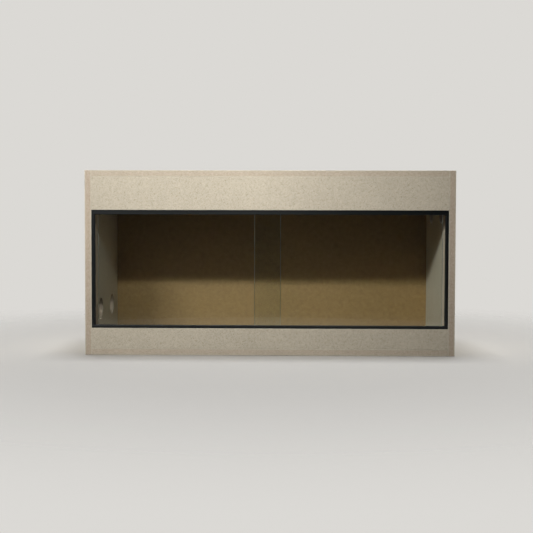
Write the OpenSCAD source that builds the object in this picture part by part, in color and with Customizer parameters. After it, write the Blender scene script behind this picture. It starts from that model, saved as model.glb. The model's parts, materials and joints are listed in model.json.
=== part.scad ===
// Reptile enclosure with sliding glass doors
// Millimetres, +Z up, front at -Y, origin at the middle of the underside.
// A screwed box of raw chipboard with a thin hardboard back. Black double-channel
// tracks frame the front opening, and two glass panes run in them, one behind the other.

/* [Box] */
// Width across the side boards
box_w = 1000; // [700:10:1500]
// Depth from the front edges to the rear face of the back panel
box_d = 400; // [350:10:600]
// Height of the side boards
box_h = 500; // [420:10:700]
// Thickness of the side, top and bottom boards
board_t = 18; // [16:1:22]
// Sanded ease along the edges of all the boards
board_ease = 0.5; // [0.2:0.1:1]
// Thickness of the back panel
back_t = 3; // [3:0.5:6]
// Distance that the back panel stays inside the outer faces of the box
back_inset = 2; // [0:0.5:4]

/* [Front boards] */
// Thickness of the two fascia boards
fascia_t = 18; // [16:1:22]
// Height of the fascia above the opening
upper_fascia_h = 89; // [60:1:140]
// Height of the fascia below the opening
lower_fascia_h = 55; // [45:1:120]

/* [Tracks] */
// Height of the upper track, which is deep so that a pane can be lifted into it
upper_track_h = 12; // [11:0.5:18]
// Height of the lower track
lower_track_h = 8; // [6:0.5:9]
// Height of the edge strips at the two ends of the opening
edge_strip_h = 8; // [6:0.5:12]
// Thickness of the three walls of a track
track_wall = 2; // [1.5:0.1:2.4]
// Thickness of the web that closes the channels
track_web = 2; // [1.5:0.1:3]
// Set-back of the tracks behind the front of the fascias
track_setback = 1; // [0:0.5:2]

/* [Glass doors] */
// Thickness of the glass
pane_t = 4; // [3:0.5:4.5]
// Play between the glass and each channel wall
pane_play = 0.5; // [0.3:0.1:0.7]
// Width of the left pane, which runs in the rear channel
left_pane_w = 496; // [480:1:560]
// Width of the right pane, which runs in the front channel
right_pane_w = 507; // [480:1:560]
// Gap from the left pane to its edge strip, with the door ajar
left_pane_gap = 8; // [0:0.5:40]
// Gap from the right pane to its edge strip, with the door ajar
right_pane_gap = 8; // [0:0.5:40]
// Depth of glass that stays in the upper channel when a pane stands in the lower one
pane_lap = 3; // [2:0.5:4]
// Ground seam along the edges of the glass
pane_seam = 1; // [0.3:0.1:1.2]

/* [Vent holes] */
// Diameter of the vent holes
vent_d = 60; // [40:1:80]
// Distance from the front edges to the middle of the front holes
vent_front = 132; // [90:1:160]
// Distance from the front hole to the rear hole, middle to middle
vent_pitch = 170; // [100:1:180]
// Height of the holes in the left side above the underside
low_vent_h = 116; // [70:1:200]
// Drop of the holes in the right side below the upper face
high_vent_drop = 110; // [70:1:200]

/* [Board screws] */
// Diameter of the shank
screw_d = 4; // [3.5:0.1:5]
// Length from the head to the point
screw_len = 50; // [40:1:55]
// Diameter of the countersunk head
screw_head_d = 8; // [7:0.1:9]
// Number of screws in each end of the top and bottom boards
end_screws = 3; // [2:1:5]
// Distance from the front and rear edges to the first of them
end_screw_inset = 50; // [35:1:90]
// Number of screws through the top, and through the bottom, into a fascia
fascia_screws = 3; // [2:1:5]
// Distance from the side boards to the first of them
fascia_screw_inset = 182; // [80:1:250]
// Distance from a fascia's long edges to the screws in its ends
fascia_end_inset = 18; // [12:1:20]

/* [Back panel screws] */
// Diameter of the shank
back_screw_d = 3; // [2.5:0.1:3.5]
// Length from the head to the point
back_screw_len = 16; // [12:1:25]
// Diameter of the countersunk head
back_screw_head_d = 6; // [5:0.1:7]
// Number of screws along the top, and along the bottom
back_row_screws = 5; // [3:1:9]
// Distance from the outer faces of the box to the first of them
back_row_inset = 60; // [50:1:120]
// Number of screws in the rear edge of each side board
back_side_screws = 2; // [1:1:5]
// Distance from the underside and the upper face to the first of those
back_side_inset = 170; // [60:1:200]

/* [Fits] */
// Depth of the screw heads below the face
screw_sink = 0.3; // [0.1:0.1:0.8]
// Clearance all round a screw in its hole
screw_fit = 0.05; // [0.02:0.01:0.2]

/* [Hidden] */
$fn = 48;

// Colours of the materials
chipboard = [0.74, 0.70, 0.62];
hardboard = [0.58, 0.48, 0.33];
black_plastic = [0.13, 0.14, 0.14];
clear_glass = [0.72, 0.80, 0.76, 0.35];
zinc_steel = [0.72, 0.72, 0.70];

// Planes of the box
front_y = -box_d / 2;
rear_y = box_d / 2;
carcass_rear_y = rear_y - back_t;
carcass_d = box_d - back_t;
inner_w = box_w - 2 * board_t;
inner_top = box_h - board_t;
fascia_mid_y = front_y + fascia_t / 2;

// Planes of the opening, between the fascias and between the tracks
upper_fascia_z = inner_top - upper_fascia_h;
lower_fascia_z = board_t + lower_fascia_h;
opening_top = upper_fascia_z - upper_track_h;
opening_bottom = lower_fascia_z + lower_track_h;
opening_h = opening_top - opening_bottom;
opening_w = inner_w - 2 * edge_strip_h;

// Section of the tracks: three walls and two channels on one web
channel_w = pane_t + 2 * pane_play;
track_w = 3 * track_wall + 2 * channel_w;
track_y = front_y + track_setback;
front_pane_y = track_y + track_wall + pane_play;
rear_pane_y = front_pane_y + channel_w + track_wall;

// Height of the glass, from the floor of the lower channel into the upper one
pane_z = lower_fascia_z + track_web;
pane_h = opening_top + pane_lap - pane_z;

// Screws through one side board, as [y, z]
top_end_points = [for (y = spread(front_y + end_screw_inset, carcass_rear_y - end_screw_inset, end_screws))
    [y, box_h - board_t / 2]];
bottom_end_points = [for (y = spread(front_y + end_screw_inset, carcass_rear_y - end_screw_inset, end_screws))
    [y, board_t / 2]];
upper_fascia_points = [for (z = [upper_fascia_z + fascia_end_inset, inner_top - fascia_end_inset])
    [fascia_mid_y, z]];
lower_fascia_points = [for (z = [board_t + fascia_end_inset, lower_fascia_z - fascia_end_inset])
    [fascia_mid_y, z]];
side_points = concat(top_end_points, bottom_end_points, upper_fascia_points, lower_fascia_points);

// Screws through the top and bottom boards into the fascias, as x
fascia_xs = spread(fascia_screw_inset - inner_w / 2, inner_w / 2 - fascia_screw_inset, fascia_screws);

// Screws through the back panel, as [x, z]
back_xs = spread(back_row_inset - box_w / 2, box_w / 2 - back_row_inset, back_row_screws);
back_zs = spread(back_side_inset, box_h - back_side_inset, back_side_screws);
back_top_points = [for (x = back_xs) [x, box_h - board_t / 2]];
back_bottom_points = [for (x = back_xs) [x, board_t / 2]];
back_left_points = [for (z = back_zs) [-(box_w - board_t) / 2, z]];
back_right_points = [for (z = back_zs) [(box_w - board_t) / 2, z]];
back_points = concat(back_top_points, back_bottom_points, back_left_points, back_right_points);

// Evenly spaced values from a to b, both ends included, or the middle for one value
function spread(a, b, n) = n < 2 ? [(a + b) / 2] : [for (i = [0 : n - 1]) a + (b - a) * i / (n - 1)];

// Outline of a rectangle a by b with its corners cut by c
function cut_corners(a, b, c) = [
    [c, 0], [a - c, 0], [a, c], [a, b - c], [a - c, b], [c, b], [0, b - c], [0, c]
];

// Half-section of a countersunk screw, head up at z = 0 and point down.
// grow widens it into the hole that it sits in, and rise carries the hole out of the board.
function screw_section(d, head_d, len, grow, rise) = let (
    rim = 0.05 * head_d,
    cone = (head_d - d) / 2,
    point = 1.5 * d
) concat(
    [[0, rise], [head_d / 2 + grow, rise]],
    [[head_d / 2 + grow, -rim], [d / 2 + grow, -rim - cone]],
    [[d / 2 + grow, point - len], [0, -len - grow]]
);

// One screw, with a cross recess in its head
module screw(d, head_d, len) {
    recess_w = 0.22 * d;
    recess_l = 0.58 * head_d;
    recess_h = 0.4 * d;
    difference() {
        translate([0, 0, -screw_sink])
            rotate_extrude()
                polygon(screw_section(d, head_d, len, 0, 0));
        for (turn = [0, 90])
            rotate([0, 0, turn])
                translate([-recess_l / 2, -recess_w / 2, -screw_sink - recess_h])
                    cube([recess_l, recess_w, recess_h + 1]);
    }
}

// The countersunk hole that one screw sits in
module screw_hole(d, head_d, len) {
    translate([0, 0, -screw_sink])
        rotate_extrude()
            polygon(screw_section(d, head_d, len, screw_fit, screw_sink + 1));
}

module board_screw() {
    screw(screw_d, screw_head_d, screw_len);
}

module board_screw_hole() {
    screw_hole(screw_d, screw_head_d, screw_len);
}

module back_screw() {
    screw(back_screw_d, back_screw_head_d, back_screw_len);
}

module back_screw_hole() {
    screw_hole(back_screw_d, back_screw_head_d, back_screw_len);
}

// Places its children on the outer face of a side board, side -1 left and 1 right
module on_side(side, points) {
    for (p = points)
        translate([side * box_w / 2, p[0], p[1]])
            rotate([0, side * 90, 0])
                children();
}

// Places its children on the upper face, in line with the fascia
module on_top() {
    for (x = fascia_xs)
        translate([x, fascia_mid_y, box_h])
            children();
}

// Places its children on the underside, in line with the fascia
module on_underside() {
    for (x = fascia_xs)
        translate([x, fascia_mid_y, 0])
            rotate([180, 0, 0])
                children();
}

// Places its children on the rear face of the back panel
module on_back(points) {
    for (p = points)
        translate([p[0], rear_y, p[1]])
            rotate([-90, 0, 0])
                children();
}

// A block with its corner at the origin and all its edges eased
module eased_block(size, ease) {
    intersection() {
        linear_extrude(height = size[2])
            polygon(cut_corners(size[0], size[1], ease));
        rotate([90, 0, 90])
            linear_extrude(height = size[0])
                polygon(cut_corners(size[1], size[2], ease));
        translate([0, size[1], 0])
            rotate([90, 0, 0])
                linear_extrude(height = size[1])
                    polygon(cut_corners(size[0], size[2], ease));
    }
}

// One side board, drilled for the vents and the screws
module side_board(side, vent_z, back_screw_points) {
    color(chipboard)
        difference() {
            translate([side > 0 ? box_w / 2 - board_t : -box_w / 2, front_y, 0])
                eased_block([board_t, carcass_d, box_h], board_ease);
            for (y = [front_y + vent_front, front_y + vent_front + vent_pitch])
                translate([side * (box_w - board_t) / 2, y, vent_z])
                    rotate([0, 90, 0])
                        cylinder(d = vent_d, h = board_t + 2, center = true, $fn = 96);
            on_side(side, side_points)
                board_screw_hole();
            on_back(back_screw_points)
                back_screw_hole();
        }
}

// A horizontal board between the sides
module shelf_board(z) {
    translate([-inner_w / 2, front_y, z])
        eased_block([inner_w, carcass_d, board_t], board_ease);
}

// A fascia board between the sides, flush with their front edges
module fascia_board(z, h) {
    translate([-inner_w / 2, front_y, z])
        eased_block([inner_w, fascia_t, h], board_ease);
}

// Section of a double-channel track: web at the bottom, wall tips rounded at the top
module track_section(h) {
    square([track_w, track_web]);
    for (i = [0 : 2])
        translate([i * (channel_w + track_wall), 0]) {
            square([track_wall, h - track_wall / 2]);
            translate([track_wall / 2, h - track_wall / 2])
                circle(d = track_wall, $fn = 24);
        }
}

// A length of track along X, channels up, front wall at y = 0
module track(len, h) {
    rotate([90, 0, 90])
        linear_extrude(height = len)
            track_section(h);
}

// A sheet of glass with ground seams, corner at the origin
module glass_sheet(w, h) {
    eased_block([w, pane_t, h], pane_seam);
}

module top_panel() {
    color(chipboard)
        difference() {
            shelf_board(inner_top);
            on_side(-1, top_end_points) board_screw_hole();
            on_side(1, top_end_points) board_screw_hole();
            on_top() board_screw_hole();
            on_back(back_top_points) back_screw_hole();
        }
}

module bottom_panel() {
    color(chipboard)
        difference() {
            shelf_board(0);
            on_side(-1, bottom_end_points) board_screw_hole();
            on_side(1, bottom_end_points) board_screw_hole();
            on_underside() board_screw_hole();
            on_back(back_bottom_points) back_screw_hole();
        }
}

module left_side_panel() {
    side_board(-1, low_vent_h, back_left_points);
}

module right_side_panel() {
    side_board(1, box_h - high_vent_drop, back_right_points);
}

module back_panel() {
    color(hardboard)
        difference() {
            translate([back_inset - box_w / 2, carcass_rear_y, back_inset])
                eased_block([box_w - 2 * back_inset, back_t, box_h - 2 * back_inset], board_ease);
            on_back(back_points) back_screw_hole();
        }
}

module upper_fascia() {
    color(chipboard)
        difference() {
            fascia_board(upper_fascia_z, upper_fascia_h);
            on_side(-1, upper_fascia_points) board_screw_hole();
            on_side(1, upper_fascia_points) board_screw_hole();
            on_top() board_screw_hole();
        }
}

module lower_fascia() {
    color(chipboard)
        difference() {
            fascia_board(board_t, lower_fascia_h);
            on_side(-1, lower_fascia_points) board_screw_hole();
            on_side(1, lower_fascia_points) board_screw_hole();
            on_underside() board_screw_hole();
        }
}

// The upper track hangs under the upper fascia with its channels down
module upper_track() {
    color(black_plastic)
        translate([-inner_w / 2, track_y, upper_fascia_z])
            mirror([0, 0, 1])
                track(inner_w, upper_track_h);
}

module lower_track() {
    color(black_plastic)
        translate([-inner_w / 2, track_y, lower_fascia_z])
            track(inner_w, lower_track_h);
}

// The edge strips stand between the tracks with their channels towards the opening
module left_edge_strip() {
    color(black_plastic)
        translate([-inner_w / 2, track_y, opening_top])
            rotate([0, 90, 0])
                track(opening_h, edge_strip_h);
}

module right_edge_strip() {
    color(black_plastic)
        mirror([1, 0, 0])
            translate([-inner_w / 2, track_y, opening_top])
                rotate([0, 90, 0])
                    track(opening_h, edge_strip_h);
}

module left_glass_pane() {
    color(clear_glass)
        translate([left_pane_gap - opening_w / 2, rear_pane_y, pane_z])
            glass_sheet(left_pane_w, pane_h);
}

module right_glass_pane() {
    color(clear_glass)
        translate([opening_w / 2 - right_pane_gap - right_pane_w, front_pane_y, pane_z])
            glass_sheet(right_pane_w, pane_h);
}

module carcass_screws() {
    color(zinc_steel) {
        on_side(-1, side_points) board_screw();
        on_side(1, side_points) board_screw();
        on_top() board_screw();
        on_underside() board_screw();
    }
}

module back_panel_screws() {
    color(zinc_steel)
        on_back(back_points) back_screw();
}

top_panel();
bottom_panel();
left_side_panel();
right_side_panel();
back_panel();
upper_fascia();
lower_fascia();
upper_track();
lower_track();
left_edge_strip();
right_edge_strip();
left_glass_pane();
right_glass_pane();
carcass_screws();
back_panel_screws();
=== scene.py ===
import json
import math
import bmesh
import bpy
from mathutils import Matrix, Vector


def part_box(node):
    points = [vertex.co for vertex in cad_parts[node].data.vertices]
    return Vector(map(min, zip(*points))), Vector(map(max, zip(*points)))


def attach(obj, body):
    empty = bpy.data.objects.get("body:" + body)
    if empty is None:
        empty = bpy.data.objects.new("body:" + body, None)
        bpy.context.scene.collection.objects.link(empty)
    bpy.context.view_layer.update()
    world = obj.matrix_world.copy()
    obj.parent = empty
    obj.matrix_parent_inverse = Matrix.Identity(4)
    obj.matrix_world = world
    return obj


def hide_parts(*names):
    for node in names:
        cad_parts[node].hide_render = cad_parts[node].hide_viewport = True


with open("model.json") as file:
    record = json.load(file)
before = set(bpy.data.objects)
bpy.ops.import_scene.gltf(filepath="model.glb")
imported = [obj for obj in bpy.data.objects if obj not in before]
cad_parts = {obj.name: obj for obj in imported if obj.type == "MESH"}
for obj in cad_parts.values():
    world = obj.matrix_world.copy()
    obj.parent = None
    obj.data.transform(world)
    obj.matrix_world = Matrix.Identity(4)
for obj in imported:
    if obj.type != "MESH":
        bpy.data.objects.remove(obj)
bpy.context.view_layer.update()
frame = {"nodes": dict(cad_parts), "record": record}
nodes = frame["nodes"]
scene = bpy.context.scene
scene.view_settings.view_transform = "Standard"
print("frame loaded with", len(nodes), "nodes")

mm = 0.001                # in metres
noiseSpan = (0.3, 0.7)    # nearly all of a noise's values lie in here


# sRGB hex to the linear colour that a socket takes
def linear(hexColour):
    parts = [int(hexColour[i:i + 2], 16) / 255 for i in (1, 3, 5)]
    return [p / 12.92 if p <= 0.04045 else ((p + 0.055) / 1.055) ** 2.4 for p in parts] + [1.0]


# adds one node and gives its outputs: inputs are values or the sockets that feed them, stops are a ramp's
# places and colours
def addNode(tree, kind, inputs=None, stops=None, **settings):
    node = tree.nodes.new("ShaderNode" + kind)
    for name, value in settings.items():
        setattr(node, name, value)
    for name, value in (inputs or {}).items():
        if isinstance(value, bpy.types.NodeSocket):
            tree.links.new(value, node.inputs[name])
        else:
            node.inputs[name].default_value = value
    if stops:
        ramp = node.color_ramp
        ends = (ramp.elements[0], ramp.elements[-1])
        for element, (position, colour) in zip(ends, (stops[0], stops[-1])):
            element.position = position
            element.color = linear(colour)
        for position, colour in stops[1:-1]:
            ramp.elements.new(position).color = linear(colour)
    return node.outputs


def newMaterial(name):
    material = bpy.data.materials.new(name)
    material.use_nodes = True
    material.node_tree.nodes.clear()
    return material, material.node_tree


# millimetres along the three axes, as the metres that a Mapping node's scale takes
def sizeMm(x, y, z):
    return Vector((x, y, z)) * mm


def place(mesh, name, materials):
    data = bpy.data.meshes.new(name)
    mesh.to_mesh(data)
    mesh.free()
    piece = bpy.data.objects.new(name, data)
    scene.collection.objects.link(piece)
    for material in materials:
        data.materials.append(material)
    return piece


# the camera, fitted to the edges of the box
viewpoint = {
    "placeMm": (37.24, -2713.49, 335.88),
    "turnLeft": 1.033,    # degrees
    "tiltDown": 2.156,
    "roll": 0.136,
    "lensMm": 62.96,
    "sensorMm": 36.0,
    "clipM": 60.0,
}
camera = bpy.data.objects.new("camera", bpy.data.cameras.new("camera"))
camera.data.lens = viewpoint["lensMm"]
camera.data.sensor_width = viewpoint["sensorMm"]
camera.data.clip_end = viewpoint["clipM"]
camera.matrix_world = (
    Matrix.Translation(sizeMm(*viewpoint["placeMm"]))
    @ Matrix.Rotation(math.radians(viewpoint["turnLeft"]), 4, "Z")
    @ Matrix.Rotation(math.radians(90 - viewpoint["tiltDown"]), 4, "X")
    @ Matrix.Rotation(math.radians(viewpoint["roll"]), 4, "Z")
)
scene.collection.objects.link(camera)
scene.camera = camera
print("camera placed")


# raw chipboard, sanded and left bare: pale greige faces of fine slivers in every direction, a few dark bits
# of bark, and cut edges that show two thin fine skins round a darker, pinker core of coarse flakes with
# open gaps; turns are in radians, details are a noise's octaves, shares say how far a colour covers
chipboardLook = {
    "grit": {"mm": 0.9, "turn": 0.0, "detail": 2.0},
    "sliver": {"mm": (3.6, 0.9, 0.6), "turns": (0.45, -0.6, 1.5)},   # length, width and thickness
    "pick": {                        # patches that take one sliver direction or another
        "mm": 4.0,
        "turn": 0.3,
        "detail": 1.0,
        "edges": (0.44, 0.54),
        "blend": 0.02,
    },
    "faceStops": [(0.0, "#978a73"), (0.1, "#aa9e89"), (0.22, "#b6ac98"), (0.6, "#bdb3a0"), (1.0, "#c5bdab")],
    "softPatch": {"mm": 7.0, "turn": 0.8, "detail": 2.0, "swing": 0.043},
    "wideDrift": {"mm": 90.0, "turn": 0.2, "detail": 3.0, "swing": 0.025},
    "bark": {
        "mm": (34.0, 11.0, 11.0),    # spacing of the dark bits, along and across them
        "turns": (-0.5, 0.9),
        "reach": (0.115, 0.085),     # a bit fades in between these parts of the spacing
        "ragged": 0.07,
        "rarity": 0.6,
        "share": 0.8,
        "colour": "#81715a",
    },
    "skin": {"mm": (1.4, 2.4), "frayMm": 1.4},   # the core comes in between these depths
    "flake": {"mm": (5.0, 3.2, 1.0), "turn": 0.6},
    "sideCore": [(0.0, "#a99985"), (0.3, "#b1a18d"), (0.7, "#b6a795"), (1.0, "#bcae9c")],
    "shelfCore": [(0.0, "#ad9f8b"), (0.3, "#b4a693"), (0.7, "#baad99"), (1.0, "#bfb3a1")],
    "gap": {
        "mm": (3.2, 3.2, 1.1),
        "turn": 1.1,
        "detail": 1.0,
        "levels": (0.6, 0.7),        # a gap opens between these levels of its noise
        "share": 0.45,
        "colour": "#8d7c68",
    },
    "arris": {"mm": (0.9, 0.5), "share": 0.55, "colour": "#cbc4b3"},   # fades in towards an edge
    "chip": {
        "mm": 4.0,                   # spacing of the chips along an edge
        "turn": 0.5,
        "detail": 2.0,
        "levels": (0.58, 0.8),
        "deepMm": 1.8,
        "rimMm": 0.2,
        "share": 0.8,
        "colour": "#968874",
    },
    "boreShade": {"mm": (0.5, 0.2), "share": 0.6, "colour": "#483a2c"},   # painted shade on the walls of the vent holes, fading out just past their rims
    "roughness": (0.74, 0.88),
    "gloss": 0.3,
    "relief": {"mm": 0.3, "strength": 0.35},
}


def rawChipboard(node, axis, coreStops, bores=()):
    look = chipboardLook
    material, tree = newMaterial("chipboard " + node.replace("_panel", "").replace("_", " "))
    across = "XYZ".index(axis)
    coords = addNode(tree, "TexCoord")["Object"]
    spots = addNode(tree, "SeparateXYZ", {"Vector": coords})

    # sizes along and across the board, with the thin one through its thickness
    def layFlat(length, width, thickness):
        sizes = [length, width]
        sizes.insert(across, thickness)
        return sizeMm(*sizes)

    def turned(angle, sizes):
        turn = [0.0, 0.0, 0.0]
        turn[across] = angle
        mapping = {"Vector": coords, "Rotation": turn, "Scale": sizes}
        return addNode(tree, "Mapping", mapping, vector_type="TEXTURE")[0]

    # an even noise with the grain of one layer of the look
    def speckle(layer):
        vector = turned(layer["turn"], sizeMm(*[layer["mm"]] * 3))
        return addNode(tree, "TexNoise", {"Vector": vector, "Scale": 1.0, "Detail": layer["detail"]})["Fac"]

    # chance values of flat cells of the given size, and the distance from the middle of each
    def cells(angle, sizes):
        vector = turned(angle, layFlat(*sizes))
        cell = addNode(tree, "TexVoronoi", {"Vector": vector, "Scale": 1.0})
        return addNode(tree, "SeparateColor", {"Color": cell["Color"]})[0], cell["Distance"]

    # distance in from the faces along each axis, and the middle one of the three: the distance from an edge
    low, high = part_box(node)
    inward = []
    for i in range(3):
        middle = (low[i] + high[i]) / 2
        offset = addNode(tree, "Math", {0: spots[i], 1: middle}, operation="SUBTRACT")[0]
        apart = addNode(tree, "Math", {0: offset}, operation="ABSOLUTE")[0]
        half = (high[i] - low[i]) / 2
        inward.append(addNode(tree, "Math", {0: half, 1: apart}, operation="SUBTRACT")[0])
    lesser = addNode(tree, "Math", {0: inward[0], 1: inward[1]}, operation="MINIMUM")[0]
    greater = addNode(tree, "Math", {0: inward[0], 1: inward[1]}, operation="MAXIMUM")[0]
    inner = addNode(tree, "Math", {0: greater, 1: inward[2]}, operation="MINIMUM")[0]
    fromEdge = addNode(tree, "Math", {0: lesser, 1: inner}, operation="MAXIMUM")[0]

    # the core begins under the skin, along a frayed line
    skin = look["skin"]
    grit = speckle(look["grit"])
    fray = {0: grit, 1: -skin["frayMm"] * mm, 2: inward[across]}
    frayed = addNode(tree, "Math", fray, operation="MULTIPLY_ADD")[0]
    coreRange = {"Value": frayed, "From Min": skin["mm"][0] * mm, "From Max": skin["mm"][1] * mm}
    core = addNode(tree, "MapRange", coreRange, interpolation_type="SMOOTHSTEP")[0]

    # face slivers in three directions, picked in patches
    pick = look["pick"]
    picked = speckle(pick)
    slivers = [cells(turn, look["sliver"]["mm"])[0] for turn in look["sliver"]["turns"]]
    sliver = slivers[0]
    for edge, other in zip(pick["edges"], slivers[1:]):
        pickRange = {"Value": picked, "From Min": edge, "From Max": edge + pick["blend"]}
        share = addNode(tree, "MapRange", pickRange)[0]
        sliver = addNode(tree, "Mix", {0: share, 2: sliver, 3: other}, data_type="FLOAT")[0]
    face = addNode(tree, "ValToRGB", {"Fac": sliver}, look["faceStops"])["Color"]

    # soft patches and wide drifts lighten and darken the board
    levels = []
    for soft in (look["softPatch"], look["wideDrift"]):
        toneRange = {
            "Value": speckle(soft),
            "From Min": noiseSpan[0], "From Max": noiseSpan[1],
            "To Min": 1 - soft["swing"], "To Max": 1 + soft["swing"],
        }
        levels.append(addNode(tree, "MapRange", toneRange)[0])
    tone = addNode(tree, "Math", {0: levels[0], 1: levels[1]}, operation="MULTIPLY")[0]

    # coarse flakes and open gaps of the core
    flake = cells(look["flake"]["turn"], look["flake"]["mm"])[0]
    flakeColour = addNode(tree, "ValToRGB", {"Fac": flake}, coreStops)["Color"]
    gap = look["gap"]
    gapVector = turned(gap["turn"], layFlat(*gap["mm"]))
    gapNoise = addNode(tree, "TexNoise", {"Vector": gapVector, "Scale": 1.0, "Detail": gap["detail"]})["Fac"]
    gapRange = {
        "Value": gapNoise,
        "From Min": gap["levels"][0], "From Max": gap["levels"][1], "To Max": gap["share"],
    }
    gapShare = addNode(tree, "MapRange", gapRange)[0]
    gapMix = {0: gapShare, 6: flakeColour, 7: linear(gap["colour"])}
    coreColour = addNode(tree, "Mix", gapMix, data_type="RGBA")[2]

    # sparse ragged bits of bark, long and thin, in two directions
    bark = look["bark"]
    colour = face
    for turn in bark["turns"]:
        chance, distance = cells(turn, bark["mm"])
        fringe = {0: grit, 1: bark["ragged"], 2: distance}
        ragged = addNode(tree, "Math", fringe, operation="MULTIPLY_ADD")[0]
        nearRange = {"Value": ragged, "From Min": bark["reach"][0], "From Max": bark["reach"][1]}
        near = addNode(tree, "MapRange", nearRange)[0]
        rareRange = {"Value": chance, "From Min": bark["rarity"], "From Max": 1.0, "To Max": bark["share"]}
        rare = addNode(tree, "MapRange", rareRange)[0]
        barkShare = addNode(tree, "Math", {0: near, 1: rare}, operation="MULTIPLY")[0]
        barkMix = {0: barkShare, 6: colour, 7: linear(bark["colour"])}
        colour = addNode(tree, "Mix", barkMix, data_type="RGBA")[2]
    colour = addNode(tree, "Mix", {0: core, 6: colour, 7: coreColour}, data_type="RGBA")[2]

    # edges are sanded pale
    arris = look["arris"]
    arrisRange = {
        "Value": fromEdge, "From Min": arris["mm"][0] * mm, "From Max": arris["mm"][1] * mm,
        "To Max": arris["share"],
    }
    arrisShare = addNode(tree, "MapRange", arrisRange)[0]
    arrisMix = {0: arrisShare, 6: colour, 7: linear(arris["colour"])}
    colour = addNode(tree, "Mix", arrisMix, data_type="RGBA")[2]

    # here and there a chip is gone from an edge
    chip = look["chip"]
    chipRange = {
        "Value": speckle(chip),
        "From Min": chip["levels"][0], "From Max": chip["levels"][1], "To Max": chip["deepMm"] * mm,
    }
    chipDepth = addNode(tree, "MapRange", chipRange)[0]
    chipReach = addNode(tree, "Math", {0: chipDepth, 1: fromEdge}, operation="SUBTRACT")[0]
    rimRange = {"Value": chipReach, "From Max": chip["rimMm"] * mm, "To Max": chip["share"]}
    chipShare = addNode(tree, "MapRange", rimRange)[0]
    chipMix = {0: chipShare, 6: colour, 7: linear(chip["colour"])}
    colour = addNode(tree, "Mix", chipMix, data_type="RGBA")[2]

    # painted shade on the walls of the vent holes, found by their distance from each hole's axis
    boreShade = look["boreShade"]
    for bore in bores:
        away = addNode(tree, "VectorMath", {0: coords, 1: bore["pos_m"]}, operation="SUBTRACT")[0]
        aside = addNode(tree, "VectorMath", {0: away, 1: (0.0, 1.0, 1.0)}, operation="MULTIPLY")[0]
        radius = addNode(tree, "VectorMath", {0: aside}, operation="LENGTH")["Value"]
        shadeEdge, shadeFull = [(bore["dims"]["r_mm"] + outside) * mm for outside in boreShade["mm"]]
        boreShadeRange = {"Value": radius, "From Min": shadeEdge, "From Max": shadeFull, "To Max": boreShade["share"]}
        boreShadeShare = addNode(tree, "MapRange", boreShadeRange)[0]
        boreShadeMix = {0: boreShadeShare, 6: colour, 7: linear(boreShade["colour"])}
        colour = addNode(tree, "Mix", boreShadeMix, data_type="RGBA")[2]
    colour = addNode(tree, "VectorMath", {0: colour, "Scale": tone}, operation="SCALE")[0]

    # slivers and grit stand up a little, gaps and chips sink
    faceRise = addNode(tree, "Math", {0: sliver, 1: grit}, operation="ADD")[0]
    coreRise = addNode(tree, "Math", {0: flake, 1: gapShare}, operation="SUBTRACT")[0]
    flatRise = addNode(tree, "Mix", {0: core, 2: faceRise, 3: coreRise}, data_type="FLOAT")[0]
    rise = addNode(tree, "Math", {0: flatRise, 1: chipShare}, operation="SUBTRACT")[0]
    relief = look["relief"]
    bump = addNode(tree, "Bump", {
        "Height": rise, "Strength": relief["strength"], "Distance": relief["mm"] * mm,
    })[0]
    smooth, dull = look["roughness"]
    rough = addNode(tree, "MapRange", {"Value": sliver, "To Min": smooth, "To Max": dull})[0]
    shader = addNode(tree, "BsdfPrincipled", {
        "Base Color": colour, "Roughness": rough, "Normal": bump, "Specular IOR Level": look["gloss"],
    })
    addNode(tree, "OutputMaterial", {"Surface": shader[0]})
    return material


bores = [mount for mount in frame["record"]["mounts"] if mount["kind"] == "bore"]
leftBores = [bore for bore in bores if bore["pos_m"][0] < 0]
rightBores = [bore for bore in bores if bore["pos_m"][0] > 0]
finishes = {
    "left_side_panel": rawChipboard("left_side_panel", "X", chipboardLook["sideCore"], leftBores),
    "right_side_panel": rawChipboard("right_side_panel", "X", chipboardLook["sideCore"], rightBores),
    "top_panel": rawChipboard("top_panel", "Z", chipboardLook["shelfCore"]),
    "bottom_panel": rawChipboard("bottom_panel", "Z", chipboardLook["shelfCore"]),
    "upper_fascia": rawChipboard("upper_fascia", "Y", chipboardLook["shelfCore"]),
    "lower_fascia": rawChipboard("lower_fascia", "Y", chipboardLook["shelfCore"]),
}
print("chipboard made for", len(finishes), "boards")


# hardboard, pressed from wood fibre: a smooth warm brown face with a felted mottle and a low sheen,
# and on the rear the coarse grid that the press screen leaves
hardboardLook = {
    "felt": {"mm": 14.0, "detail": 6.0, "roughness": 0.65, "distortion": 0.5},
    "fibre": {"mm": (5.0, 1.2, 0.8), "turn": 0.5, "detail": 2.0, "distortion": 1.5, "swing": 0.06},
    "screen": {"mm": 5.0, "swing": 0.06},    # real screens are about 2 mm, drawn coarser so that they show
    "stops": [(0.3, "#896b3f"), (0.5, "#927546"), (0.7, "#997e4f")],
    "rearTone": 0.86,
    "roughness": (0.5, 0.66),
    "relief": {"mm": 0.4, "strength": 0.25},
}


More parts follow.
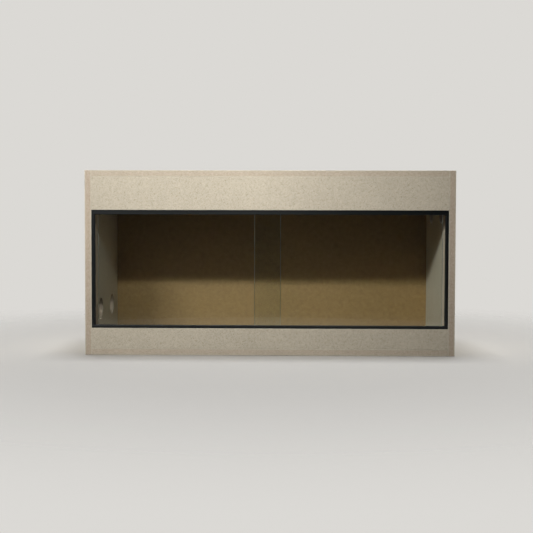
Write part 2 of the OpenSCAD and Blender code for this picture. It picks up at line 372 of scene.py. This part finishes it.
def pressedHardboard(name):
    look = hardboardLook
    material, tree = newMaterial(name)
    coords = addNode(tree, "TexCoord")["Object"]
    spots = addNode(tree, "SeparateXYZ", {"Vector": coords})
    felt = look["felt"]
    feltSize = {"Vector": coords, "Scale": sizeMm(*[felt["mm"]] * 3)}
    feltVector = addNode(tree, "Mapping", feltSize, vector_type="TEXTURE")[0]
    feltNoise = addNode(tree, "TexNoise", {
        "Vector": feltVector, "Scale": 1.0, "Detail": felt["detail"],
        "Roughness": felt["roughness"], "Distortion": felt["distortion"],
    })["Fac"]
    fibre = look["fibre"]
    length, width, thickness = fibre["mm"]
    fibreSize = {
        "Vector": coords, "Rotation": (0.0, fibre["turn"], 0.0), "Scale": sizeMm(length, thickness, width),
    }
    fibreVector = addNode(tree, "Mapping", fibreSize, vector_type="TEXTURE")[0]
    fibreNoise = addNode(tree, "TexNoise", {
        "Vector": fibreVector, "Scale": 1.0, "Detail": fibre["detail"], "Distortion": fibre["distortion"],
    })["Fac"]
    brown = addNode(tree, "ValToRGB", {"Fac": feltNoise}, look["stops"])["Color"]
    fibreRange = {
        "Value": fibreNoise, "From Min": noiseSpan[0], "From Max": noiseSpan[1],
        "To Min": 1 - fibre["swing"], "To Max": 1 + fibre["swing"],
    }
    fibreTone = addNode(tree, "MapRange", fibreRange)[0]

    # the screen grid, on the rear third of the thickness only
    low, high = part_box("back_panel")
    rearFrom = (low.y + 2 * high.y) / 3
    rear = addNode(tree, "Math", {0: spots["Y"], 1: rearFrom}, operation="GREATER_THAN")[0]
    perMetre = 2 * math.pi / (look["screen"]["mm"] * mm)
    waves = []
    for axis in ("X", "Z"):
        angle = addNode(tree, "Math", {0: spots[axis], 1: perMetre}, operation="MULTIPLY")[0]
        waves.append(addNode(tree, "Math", {0: angle}, operation="SINE")[0])
    grid = addNode(tree, "Math", {0: waves[0], 1: waves[1]}, operation="MULTIPLY")[0]
    rearGrid = addNode(tree, "Math", {0: grid, 1: rear}, operation="MULTIPLY")[0]
    rearTone = addNode(tree, "MapRange", {"Value": rear, "To Min": 1.0, "To Max": look["rearTone"]})[0]
    gridSwing = {0: rearGrid, 1: look["screen"]["swing"], 2: rearTone}
    gridTone = addNode(tree, "Math", gridSwing, operation="MULTIPLY_ADD")[0]
    tone = addNode(tree, "Math", {0: fibreTone, 1: gridTone}, operation="MULTIPLY")[0]
    colour = addNode(tree, "VectorMath", {0: brown, "Scale": tone}, operation="SCALE")[0]
    rise = addNode(tree, "Math", {0: fibreNoise, 1: rearGrid}, operation="ADD")[0]
    relief = look["relief"]
    bump = addNode(tree, "Bump", {
        "Height": rise, "Strength": relief["strength"], "Distance": relief["mm"] * mm,
    })[0]
    smooth, dull = look["roughness"]
    rough = addNode(tree, "MapRange", {"Value": feltNoise, "To Min": smooth, "To Max": dull})[0]
    shader = addNode(tree, "BsdfPrincipled", {"Base Color": colour, "Roughness": rough, "Normal": bump})
    addNode(tree, "OutputMaterial", {"Surface": shader[0]})
    return material


# black PVC, extruded: a satin near-black with faint draw lines along its length
pvcLook = {
    "drawLineMm": (300.0, 0.8),    # length and width of a line, drawn wide enough to show
    "detail": 3.0,
    "stops": [(0.35, "#060909"), (0.65, "#0b0f10")],
    "roughness": (0.24, 0.38),
    "ior": 1.53,
    "gloss": 0.34,
    "relief": {"mm": 0.2, "strength": 0.15},
}


def extrudedPvc(name, axis):
    look = pvcLook
    material, tree = newMaterial(name)
    coords = addNode(tree, "TexCoord")["Object"]
    length, width = look["drawLineMm"]
    sizes = [width] * 3
    sizes["XYZ".index(axis)] = length
    lineSize = {"Vector": coords, "Scale": sizeMm(*sizes)}
    lineVector = addNode(tree, "Mapping", lineSize, vector_type="TEXTURE")[0]
    line = addNode(tree, "TexNoise", {"Vector": lineVector, "Scale": 1.0, "Detail": look["detail"]})["Fac"]
    colour = addNode(tree, "ValToRGB", {"Fac": line}, look["stops"])["Color"]
    smooth, dull = look["roughness"]
    rough = addNode(tree, "MapRange", {"Value": line, "To Min": smooth, "To Max": dull})[0]
    relief = look["relief"]
    bump = addNode(tree, "Bump", {
        "Height": line, "Strength": relief["strength"], "Distance": relief["mm"] * mm,
    })[0]
    shader = addNode(tree, "BsdfPrincipled", {
        "Base Color": colour, "Roughness": rough, "Normal": bump,
        "IOR": look["ior"], "Specular IOR Level": look["gloss"],
    })
    addNode(tree, "OutputMaterial", {"Surface": shader[0]})
    return material


# zinc-plated steel: a pale grey metal with the soft bloom of the plating
zincLook = {
    "bloomMm": 1.5,
    "detail": 3.0,
    "stops": [(0.3, "#a9aaa6"), (0.7, "#cbccc8")],
    "roughness": (0.28, 0.46),
}


def platedSteel(name):
    look = zincLook
    material, tree = newMaterial(name)
    coords = addNode(tree, "TexCoord")["Object"]
    bloomSize = {"Vector": coords, "Scale": sizeMm(*[look["bloomMm"]] * 3)}
    bloomVector = addNode(tree, "Mapping", bloomSize, vector_type="TEXTURE")[0]
    bloom = addNode(tree, "TexNoise", {"Vector": bloomVector, "Scale": 1.0, "Detail": look["detail"]})["Fac"]
    colour = addNode(tree, "ValToRGB", {"Fac": bloom}, look["stops"])["Color"]
    smooth, dull = look["roughness"]
    rough = addNode(tree, "MapRange", {"Value": bloom, "To Min": smooth, "To Max": dull})[0]
    shader = addNode(tree, "BsdfPrincipled", {"Base Color": colour, "Roughness": rough, "Metallic": 1.0})
    addNode(tree, "OutputMaterial", {"Surface": shader[0]})
    return material


# clear float glass: a faint green cast and sharp reflections, and light on its way to the boards behind it
# goes straight through
floatLook = {"tint": "#f5f9f6", "shade": "#f7f9f8", "ior": 1.52}


def floatGlass(name):
    material, tree = newMaterial(name)
    body = addNode(tree, "BsdfPrincipled", {
        "Base Color": linear(floatLook["tint"]), "Roughness": 0.0,
        "IOR": floatLook["ior"], "Transmission Weight": 1.0,
    })
    clear = addNode(tree, "BsdfTransparent", {"Color": linear(floatLook["shade"])})
    path = addNode(tree, "LightPath")
    spread = addNode(tree, "MixShader", {0: path["Is Diffuse Ray"], 1: body[0], 2: clear[0]})
    pane = addNode(tree, "MixShader", {0: path["Is Shadow Ray"], 1: spread[0], 2: clear[0]})
    addNode(tree, "OutputMaterial", {"Surface": pane[0]})
    return material


# ground edge of the glass: the wheel leaves it matt, and it shows the deep green of the glass
groundLook = {"colour": "#506157", "roughness": 0.4, "clear": 0.9, "ior": 1.52}


def groundGlass(name):
    material, tree = newMaterial(name)
    shader = addNode(tree, "BsdfPrincipled", {
        "Base Color": linear(groundLook["colour"]), "Roughness": groundLook["roughness"],
        "IOR": groundLook["ior"], "Transmission Weight": groundLook["clear"],
    })
    addNode(tree, "OutputMaterial", {"Surface": shader[0]})
    return material


hardboard = pressedHardboard("hardboard")
trackPvc = extrudedPvc("PVC track", "X")
stripPvc = extrudedPvc("PVC edge strip", "Z")
zinc = platedSteel("zinc-plated steel")
finishes.update({
    "back_panel": hardboard,
    "upper_track": trackPvc,
    "lower_track": trackPvc,
    "left_edge_strip": stripPvc,
    "right_edge_strip": stripPvc,
    "carcass_screws": zinc,
    "back_panel_screws": zinc,
})
for node, material in finishes.items():
    nodes[node].material_slots[0].material = material
print("materials set on the carried-over nodes")


# the two panes, with clear faces and ground edges
paneCut = {"seamMm": 1.0, "faceTurn": 0.99}    # a clear face looks at least this squarely along Y
clearGlass = floatGlass("float glass")
groundEdge = groundGlass("ground glass edge")
for name, node, body in (
    ("left_sliding_pane", "left_glass_pane", "left_door"),
    ("right_sliding_pane", "right_glass_pane", "right_door"),
):
    low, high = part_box(node)
    mesh = bmesh.new()
    bmesh.ops.create_cube(mesh, size=1.0)
    bmesh.ops.scale(mesh, vec=high - low, verts=mesh.verts)
    bmesh.ops.translate(mesh, vec=(low + high) / 2, verts=mesh.verts)
    bmesh.ops.bevel(
        mesh, geom=mesh.edges[:], offset=paneCut["seamMm"] * mm, affect="EDGES",
        segments=1, profile=0.5, material=-1
    )
    mesh.normal_update()
    for face in mesh.faces:
        face.material_index = 0 if abs(face.normal.y) > paneCut["faceTurn"] else 1
    pane = place(mesh, name, [clearGlass, groundEdge])
    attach(pane, body)
    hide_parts(node)
print("panes made")


# rays that reach the eye, straight or by way of glass and gloss, see the pale studio, and light that spreads
# from one surface to the next meets a dim one, so that the inside of the box keeps its shade
def seenRays(tree):
    path = addNode(tree, "LightPath")
    outer = {0: path["Is Camera Ray"], 1: path["Is Glossy Ray"]}
    bright = addNode(tree, "Math", outer, operation="MAXIMUM")[0]
    return addNode(tree, "Math", {0: bright, 1: path["Is Transmission Ray"]}, operation="MAXIMUM")[0]


# pale floor that fades into the backdrop
floorLook = {
    "radiusM": 9.0,
    "segments": 128,
    "belowMm": 0.2,         # under the box, so that the two don't share a plane
    "fadeM": (0.6, 1.7),
    "pale": "#f0eeea",
    "dim": "#242220",
    "roughness": 0.8,
    "gloss": 0.2,
}
floorPaint, tree = newMaterial("pale studio floor")
coords = addNode(tree, "TexCoord")["Object"]
reach = addNode(tree, "VectorMath", {0: coords}, operation="LENGTH")["Value"]
fadeRange = {"Value": reach, "From Min": floorLook["fadeM"][0], "From Max": floorLook["fadeM"][1]}
fade = addNode(tree, "MapRange", fadeRange, interpolation_type="SMOOTHSTEP")[0]
floorMix = {0: seenRays(tree), 6: linear(floorLook["dim"]), 7: linear(floorLook["pale"])}
floorColour = addNode(tree, "Mix", floorMix, data_type="RGBA")[2]
paint = addNode(tree, "BsdfPrincipled", {
    "Base Color": floorColour, "Roughness": floorLook["roughness"], "Specular IOR Level": floorLook["gloss"],
})
gone = addNode(tree, "BsdfTransparent")
blend = addNode(tree, "MixShader", {0: fade, 1: paint[0], 2: gone[0]})
addNode(tree, "OutputMaterial", {"Surface": blend[0]})
mesh = bmesh.new()
bmesh.ops.create_circle(mesh, cap_ends=True, segments=floorLook["segments"], radius=floorLook["radiusM"])
bmesh.ops.translate(mesh, vec=(0.0, 0.0, -floorLook["belowMm"] * mm), verts=mesh.verts)
floor = place(mesh, "floor", [floorPaint])

# backdrop: pale to the eye on every side, with a dark room in front of the box for the panes to reflect
backdrop = {"pale": "#dbd9d5", "grey": "#242526", "dim": "#0e0d0b", "edge": (-0.7, -0.3)}
world = bpy.data.worlds.new("studio backdrop")
world.use_nodes = True
tree = world.node_tree
tree.nodes.clear()
heading = addNode(tree, "TexCoord")["Generated"]
ahead = addNode(tree, "SeparateXYZ", {"Vector": heading})["Y"]
edgeRange = {"Value": ahead, "From Min": backdrop["edge"][0], "From Max": backdrop["edge"][1]}
glow = addNode(tree, "MapRange", edgeRange, interpolation_type="SMOOTHSTEP")[0]
straight = addNode(tree, "LightPath")["Is Camera Ray"]
shown = addNode(tree, "Math", {0: glow, 1: straight}, operation="MAXIMUM")[0]
seenMix = {0: shown, 6: linear(backdrop["grey"]), 7: linear(backdrop["pale"])}
seenColour = addNode(tree, "Mix", seenMix, data_type="RGBA")[2]
skyMix = {0: seenRays(tree), 6: linear(backdrop["dim"]), 7: seenColour}
skyColour = addNode(tree, "Mix", skyMix, data_type="RGBA")[2]
sky = addNode(tree, "Background", {"Color": skyColour, "Strength": 1.0})
addNode(tree, "OutputWorld", {"Surface": sky[0]})
scene.world = world

# lamps: a small key in front of the box and above it, a level strip light to its left, a wide one overhead
# for the top and the floor, and one each for the sides and the back; places and sizes in metres, beams in
# degrees, and a lamp without a beam shines all round its front
lamps = {
    "key": {
        "at": (-0.15, -1.4, 1.0), "aim": (-0.02, -0.2, 0.46), "size": (0.06, 0.06), "beam": 88, "watts": 3.0,
    },
    "strip": {"at": (-0.95, -1.39, 1.0), "aim": (-0.1, 0.0, 0.28), "size": (0.45, 0.06), "watts": 17.5},
    "overhead": {"at": (0.0, 0.5, 9.0), "aim": (0.0, 0.2, 0.0), "size": (3.6, 3.6), "watts": 528.0},
    "left": {"at": (-2.4, 0.5, 0.5), "aim": (-0.5, 0.0, 0.25), "size": (1.0, 1.0), "watts": 33.6},
    "right": {"at": (2.6, 0.5, 0.8), "aim": (0.4, 0.0, 0.2), "size": (1.0, 1.0), "watts": 48.0},
    "rear": {"at": (0.3, 2.8, 0.8), "aim": (0.0, 0.2, 0.2), "size": (1.2, 1.2), "watts": 54.0},
}
# only the overhead lamp lights the floor, so that it stays one plain tone
offFloor = bpy.data.collections.new("kept off the floor")
offFloor.objects.link(floor)
offFloor.collection_objects[0].light_linking.link_state = "EXCLUDE"
for name, lamp in lamps.items():
    light = bpy.data.lights.new(name, "AREA")
    light.shape = "RECTANGLE"
    light.size, light.size_y = lamp["size"]
    light.spread = math.radians(lamp.get("beam", 180))
    light.energy = lamp["watts"]
    holder = bpy.data.objects.new(name, light)
    holder.location = lamp["at"]
    holder.rotation_euler = (Vector(lamp["aim"]) - Vector(lamp["at"])).to_track_quat("-Z", "Y").to_euler()
    holder.visible_camera = False
    scene.collection.objects.link(holder)
    if name != "overhead":
        holder.light_linking.receiver_collection = offFloor
print("floor, backdrop and lamps placed")
